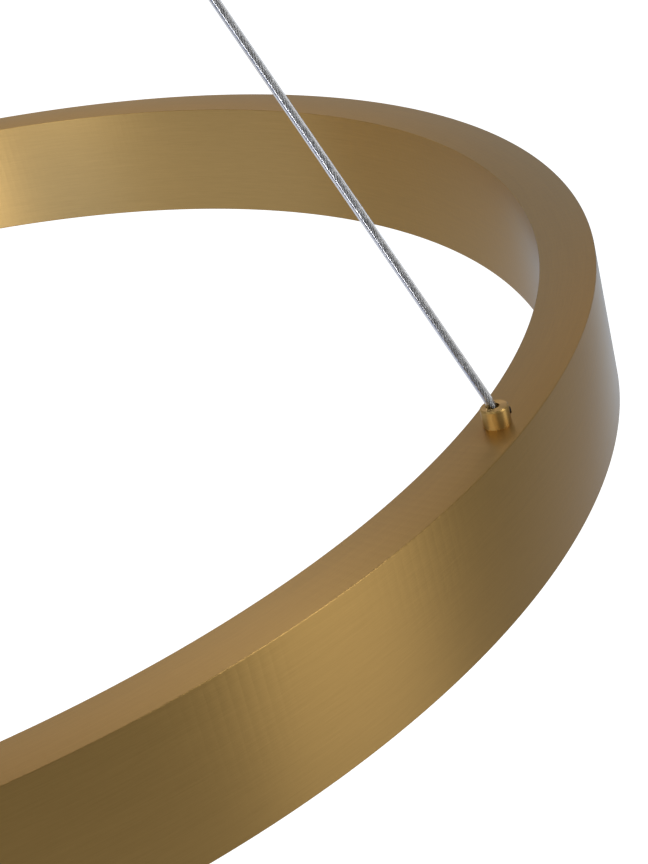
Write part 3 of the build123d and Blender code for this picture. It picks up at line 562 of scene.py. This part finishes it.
def turned_brass():
    """Brass with the fine lines of turning."""
    material, tree, shader = new_finish("turned_brass")
    place = put(tree, "ShaderNodeTexCoord").outputs["Object"]
    stretched = put(tree, "ShaderNodeMapping", {"Vector": place, "Scale": TURNING_LINES}).outputs[0]
    lines = put(tree, "ShaderNodeTexNoise", {"Vector": stretched, "Scale": 1.0, "Detail": 2.0}).outputs[0]
    tangent = put(tree, "ShaderNodeTangent", direction_type="RADIAL", axis="Z").outputs[0]
    set_inputs(
        tree, shader,
        Base_Color=two_tone(tree, lines, *TURNED_TONES),
        Metallic=1.0,
        Roughness=spread(tree, lines, *TURNED_ROUGHNESS),
        Anisotropic=0.8,
        Anisotropic_Rotation=0.25,
        Tangent=tangent,
        Normal=relief(tree, lines, *TURNED_RELIEF),
    )
    return material


def clear_jacket():
    """Clear plastic jacket of a cable."""
    material, tree, shader = new_finish("clear_jacket")
    cloud = group_node(tree, speckle, Size=JACKET_CLOUD).outputs["Cloud"]
    set_inputs(
        tree, shader,
        Base_Color=two_tone(tree, cloud, *JACKET_TONES),
        Roughness=spread(tree, cloud, *JACKET_ROUGHNESS),
        IOR=1.46,
        Transmission_Weight=1.0,
        Coat_Weight=1.0,
        Coat_IOR=2.1,
        Coat_Roughness=0.04,
    )
    return material


def tinned_strands():
    """Tinned wire of a cable's core."""
    material, tree, shader = new_finish("tinned_strands")
    cloud = group_node(tree, speckle, Size=STRAND_CLOUD).outputs["Cloud"]
    set_inputs(
        tree, shader,
        Base_Color=two_tone(tree, cloud, *STRAND_TONES),
        Metallic=1.0,
        Roughness=spread(tree, cloud, *STRAND_ROUGHNESS),
    )
    return material


def plain_metal(name, dark, light, rough, size):
    """Metal with cloudy plating and a fine grain."""
    material, tree, shader = new_finish(name)
    marks = group_node(tree, speckle, Size=size)
    set_inputs(
        tree, shader,
        Base_Color=two_tone(tree, marks.outputs["Cloud"], dark, light),
        Metallic=1.0,
        Roughness=spread(tree, marks.outputs["Cloud"], rough - METAL_SPREAD, rough + METAL_SPREAD),
        Normal=relief(tree, marks.outputs["Grain"], *METAL_RELIEF),
    )
    return material


def moulded(name, dark, light, rough, size, bump=0.1):
    """Plastic, board or rubber with slight mottling and a fine moulded grain."""
    material, tree, shader = new_finish(name)
    marks = group_node(tree, speckle, Size=size)
    set_inputs(
        tree, shader,
        Base_Color=two_tone(tree, marks.outputs["Cloud"], dark, light),
        Roughness=spread(tree, marks.outputs["Cloud"], rough - MOULDED_SPREAD, rough + MOULDED_SPREAD),
        Normal=relief(tree, marks.outputs["Grain"], bump, MOULDED_DEPTH),
    )
    return material


finishes = {
    "brushed_brass_finish": brushed_brass(),
    "turned_brass": turned_brass(),
    "clear_cable": clear_jacket(),
    "opal_plastic": moulded("opal_plastic", (0.86, 0.85, 0.82), (0.92, 0.91, 0.88), 0.38, 0.02, 0.04),
    "bare_aluminium": plain_metal("bare_aluminium", (0.66, 0.66, 0.67), (0.78, 0.78, 0.79), 0.36, 0.01),
    "zinc_steel": plain_metal("zinc_steel", (0.50, 0.51, 0.52), (0.66, 0.66, 0.65), 0.34, 0.004),
    "black_steel": plain_metal("black_steel", (0.020, 0.020, 0.021), (0.045, 0.044, 0.043), 0.42, 0.002),
    "white_circuit": moulded("white_circuit", (0.80, 0.80, 0.78), (0.88, 0.88, 0.86), 0.42, 0.006),
    "light_chip": moulded("light_chip", (0.86, 0.70, 0.22), (0.93, 0.80, 0.36), 0.28, 0.002),
    "white_plastic": moulded("white_plastic", (0.76, 0.76, 0.74), (0.84, 0.84, 0.82), 0.46, 0.008),
    "green_circuit": moulded("green_circuit", (0.03, 0.16, 0.06), (0.06, 0.24, 0.10), 0.36, 0.006),
    "wound_core": moulded("wound_core", (0.05, 0.05, 0.05), (0.10, 0.09, 0.08), 0.55, 0.003, 0.3),
    "capacitor_sleeve": moulded("capacitor_sleeve", (0.02, 0.025, 0.05), (0.04, 0.05, 0.09), 0.30, 0.003),
    "lead_sleeve": moulded("lead_sleeve", (0.66, 0.66, 0.64), (0.78, 0.78, 0.76), 0.50, 0.003),
    "foam_pad": moulded("foam_pad", (0.05, 0.05, 0.05), (0.09, 0.09, 0.09), 0.85, 0.0015, 0.5),
}


def paint(piece, material):
    """Give a piece one finish all over."""
    piece.data.materials.clear()
    piece.data.materials.append(material)


for subpart in frame["record"]["subparts"]:
    paint(frame["nodes"][subpart["node"]], finishes[subpart["material_slot"]])

paint(ring_piece(), finishes["brushed_brass_finish"])
paint(diffuser_piece(), finishes["opal_plastic"])
strand_finish = tinned_strands()
for number, angle in enumerate(SUSPENSION_ANGLES, start=1):
    jacket, core = cable_pieces(number, angle)
    paint(jacket, finishes["clear_cable"])
    paint(core, strand_finish)
    paint(spring_piece(number, angle), finishes["zinc_steel"])


# Studio

FLOOR_HEIGHT = -2.4
FLOOR_RADIUS = 12.0
FLOOR_SIDES = 96
FLOOR_CLOUD = 0.5
FLOOR_TONES = (0.82, 0.82, 0.81), (0.86, 0.86, 0.85)
FLOOR_CAMERA_GLOW = 0.95
FLOOR_GLOSS_GLOW = 0.06
STUDIO_LEVEL = 0.27
SEEN_THROUGH_JACKET = 0.28
STUDIO_DISTANCE = 2.0
STUDIO_CENTRE = Vector((0, 0, RING_TOP))

# Name, azimuth, elevation, width, height, brightness and tint of each lamp and reflector
SOFTBOXES = (
    ("right_softbox", -19, 1, 0.95, 3.0, 0.72),
    ("left_softbox", -131, -22, 1.2, 1.4, 0.66, (0.72, 1.05, 2.1)),
    ("key_softbox", -119, -8, 0.3, 1.0, 10.0),
    ("camera_softbox", -100, 32, 0.7, 0.5, 4.5),
    ("left_upper_softbox", -143, 25, 0.6, 0.9, 4.0, (0.95, 1.0, 1.1)),
    ("edge_softbox", -10, 47, 0.6, 0.6, 4.8),
    ("front_reflector", -172, -8, 1.6, 2.4, 0.54, (0.88, 1.0, 1.35)),
    ("back_reflector", 135, -8, 2.4, 2.4, 0.19),
    ("upper_softbox", 96, 48, 1.2, 1.2, 0.81, (1.07, 1.0, 1.2)),
    ("far_reflector", 36, -8, 1.2, 2.4, 0.13, (0.87, 1.0, 1.55)),
    ("warm_reflector", 60, 27, 0.8, 0.6, 0.21, (1.3, 0.95, 0.7)),
    ("haze_reflector", 86, -4, 1.8, 1.4, 0.42, (0.15, 0.5, 1.0)),
    ("horizon_reflector", 61, -25, 0.65, 1.0, 0.75, (0.64, 0.94, 1.4)),
    ("inner_reflector", 94, -24, 0.5, 1.0, 0.34, (0.75, 0.95, 1.5)),
    ("glow_reflector", 81, 31, 0.35, 0.25, 0.4, (1.0, 0.55, 0.2)),
)


def seen_directly(tree, path):
    """1 for the rays that come straight from the camera, and less for those through a clear jacket."""
    through = calculate(tree, "MULTIPLY", path.outputs["Is Transmission Ray"], SEEN_THROUGH_JACKET)
    return calculate(tree, "MAXIMUM", path.outputs["Is Camera Ray"], through)


def pale_floor():
    """Round pale floor, a room's height below the ceiling, raised to white for the camera."""
    shape = bmesh.new()
    bmesh.ops.create_circle(
        shape, cap_ends=True, segments=FLOOR_SIDES, radius=FLOOR_RADIUS,
        matrix=Matrix.Translation((0, 0, FLOOR_HEIGHT)),
    )
    mesh = bpy.data.meshes.new("floor")
    shape.to_mesh(mesh)
    shape.free()
    floor = bpy.data.objects.new("floor", mesh)
    scene.collection.objects.link(floor)
    material, tree, shader = new_finish("pale_floor")
    cloud = group_node(tree, speckle, Size=FLOOR_CLOUD).outputs["Cloud"]
    path = put(tree, "ShaderNodeLightPath")
    direct = calculate(tree, "MULTIPLY", seen_directly(tree, path), FLOOR_CAMERA_GLOW)
    mirrored = calculate(tree, "MULTIPLY", path.outputs["Is Glossy Ray"], FLOOR_GLOSS_GLOW)
    set_inputs(
        tree, shader,
        Base_Color=two_tone(tree, cloud, *FLOOR_TONES),
        Roughness=0.8,
        Emission_Color=(1, 1, 1, 1),
        Emission_Strength=calculate(tree, "MAXIMUM", direct, mirrored),
    )
    paint(floor, material)


def studio_world():
    """Even grey studio, which the camera sees as white."""
    world = bpy.data.worlds.new("studio")
    world.use_nodes = True
    tree = world.node_tree
    tree.nodes.clear()
    seen = seen_directly(tree, put(tree, "ShaderNodeLightPath"))
    level = spread(tree, seen, STUDIO_LEVEL, 1.0)
    sky = put(tree, "ShaderNodeBackground", {"Color": (1, 1, 1, 1), "Strength": level})
    put(tree, "ShaderNodeOutputWorld", {"Surface": sky.outputs[0]})
    scene.world = world


def softbox(name, azimuth, elevation, width, height, brightness, tint=(1, 1, 1)):
    """Soft lamp that faces the ring and stays out of the picture, by the brightness of its face."""
    lamp = bpy.data.lights.new(name, "AREA")
    lamp.shape = "RECTANGLE"
    lamp.size = width
    lamp.size_y = height
    lamp.energy = brightness * pi * width * height
    lamp.color = tint
    holder = bpy.data.objects.new(name, lamp)
    away = Vector((
        cos(radians(azimuth)) * cos(radians(elevation)),
        sin(radians(azimuth)) * cos(radians(elevation)),
        sin(radians(elevation)),
    ))
    holder.location = STUDIO_CENTRE + away * STUDIO_DISTANCE
    holder.rotation_euler = away.to_track_quat("Z", "Y").to_euler()
    holder.visible_camera = False
    scene.collection.objects.link(holder)


pale_floor()
studio_world()
for row in SOFTBOXES:
    softbox(*row)


# The photograph's camera

CAMERA_FROM_AXIS = 0.7331
CAMERA_AZIMUTH = radians(-71.1)
CAMERA_ABOVE_RING = 0.2705
LOOK_AZIMUTH = radians(93.64)
LOOK_DOWN = radians(25.42)
CAMERA_ROLL = radians(-14.08)
CAMERA_LENS = 88.5
CAMERA_CLIP = 0.01


def photograph_camera():
    """Camera beside the ring and a little above it, with the photograph's lean."""
    forward = Vector((
        cos(LOOK_AZIMUTH) * cos(LOOK_DOWN), sin(LOOK_AZIMUTH) * cos(LOOK_DOWN), -sin(LOOK_DOWN)
    ))
    right = forward.cross(Vector((0, 0, 1))).normalized()
    up = right.cross(forward)
    side = right * cos(CAMERA_ROLL) + up * sin(CAMERA_ROLL)
    top = up * cos(CAMERA_ROLL) - right * sin(CAMERA_ROLL)
    place = Vector((
        CAMERA_FROM_AXIS * cos(CAMERA_AZIMUTH),
        CAMERA_FROM_AXIS * sin(CAMERA_AZIMUTH),
        RING_TOP + CAMERA_ABOVE_RING,
    ))
    camera = bpy.data.objects.new("camera", bpy.data.cameras.new("camera"))
    camera.data.lens = CAMERA_LENS
    camera.data.clip_start = CAMERA_CLIP
    camera.matrix_world = Matrix.Translation(place) @ Matrix((side, top, -forward)).transposed().to_4x4()
    scene.collection.objects.link(camera)
    scene.camera = camera


photograph_camera()
scene.view_settings.view_transform = "Standard"
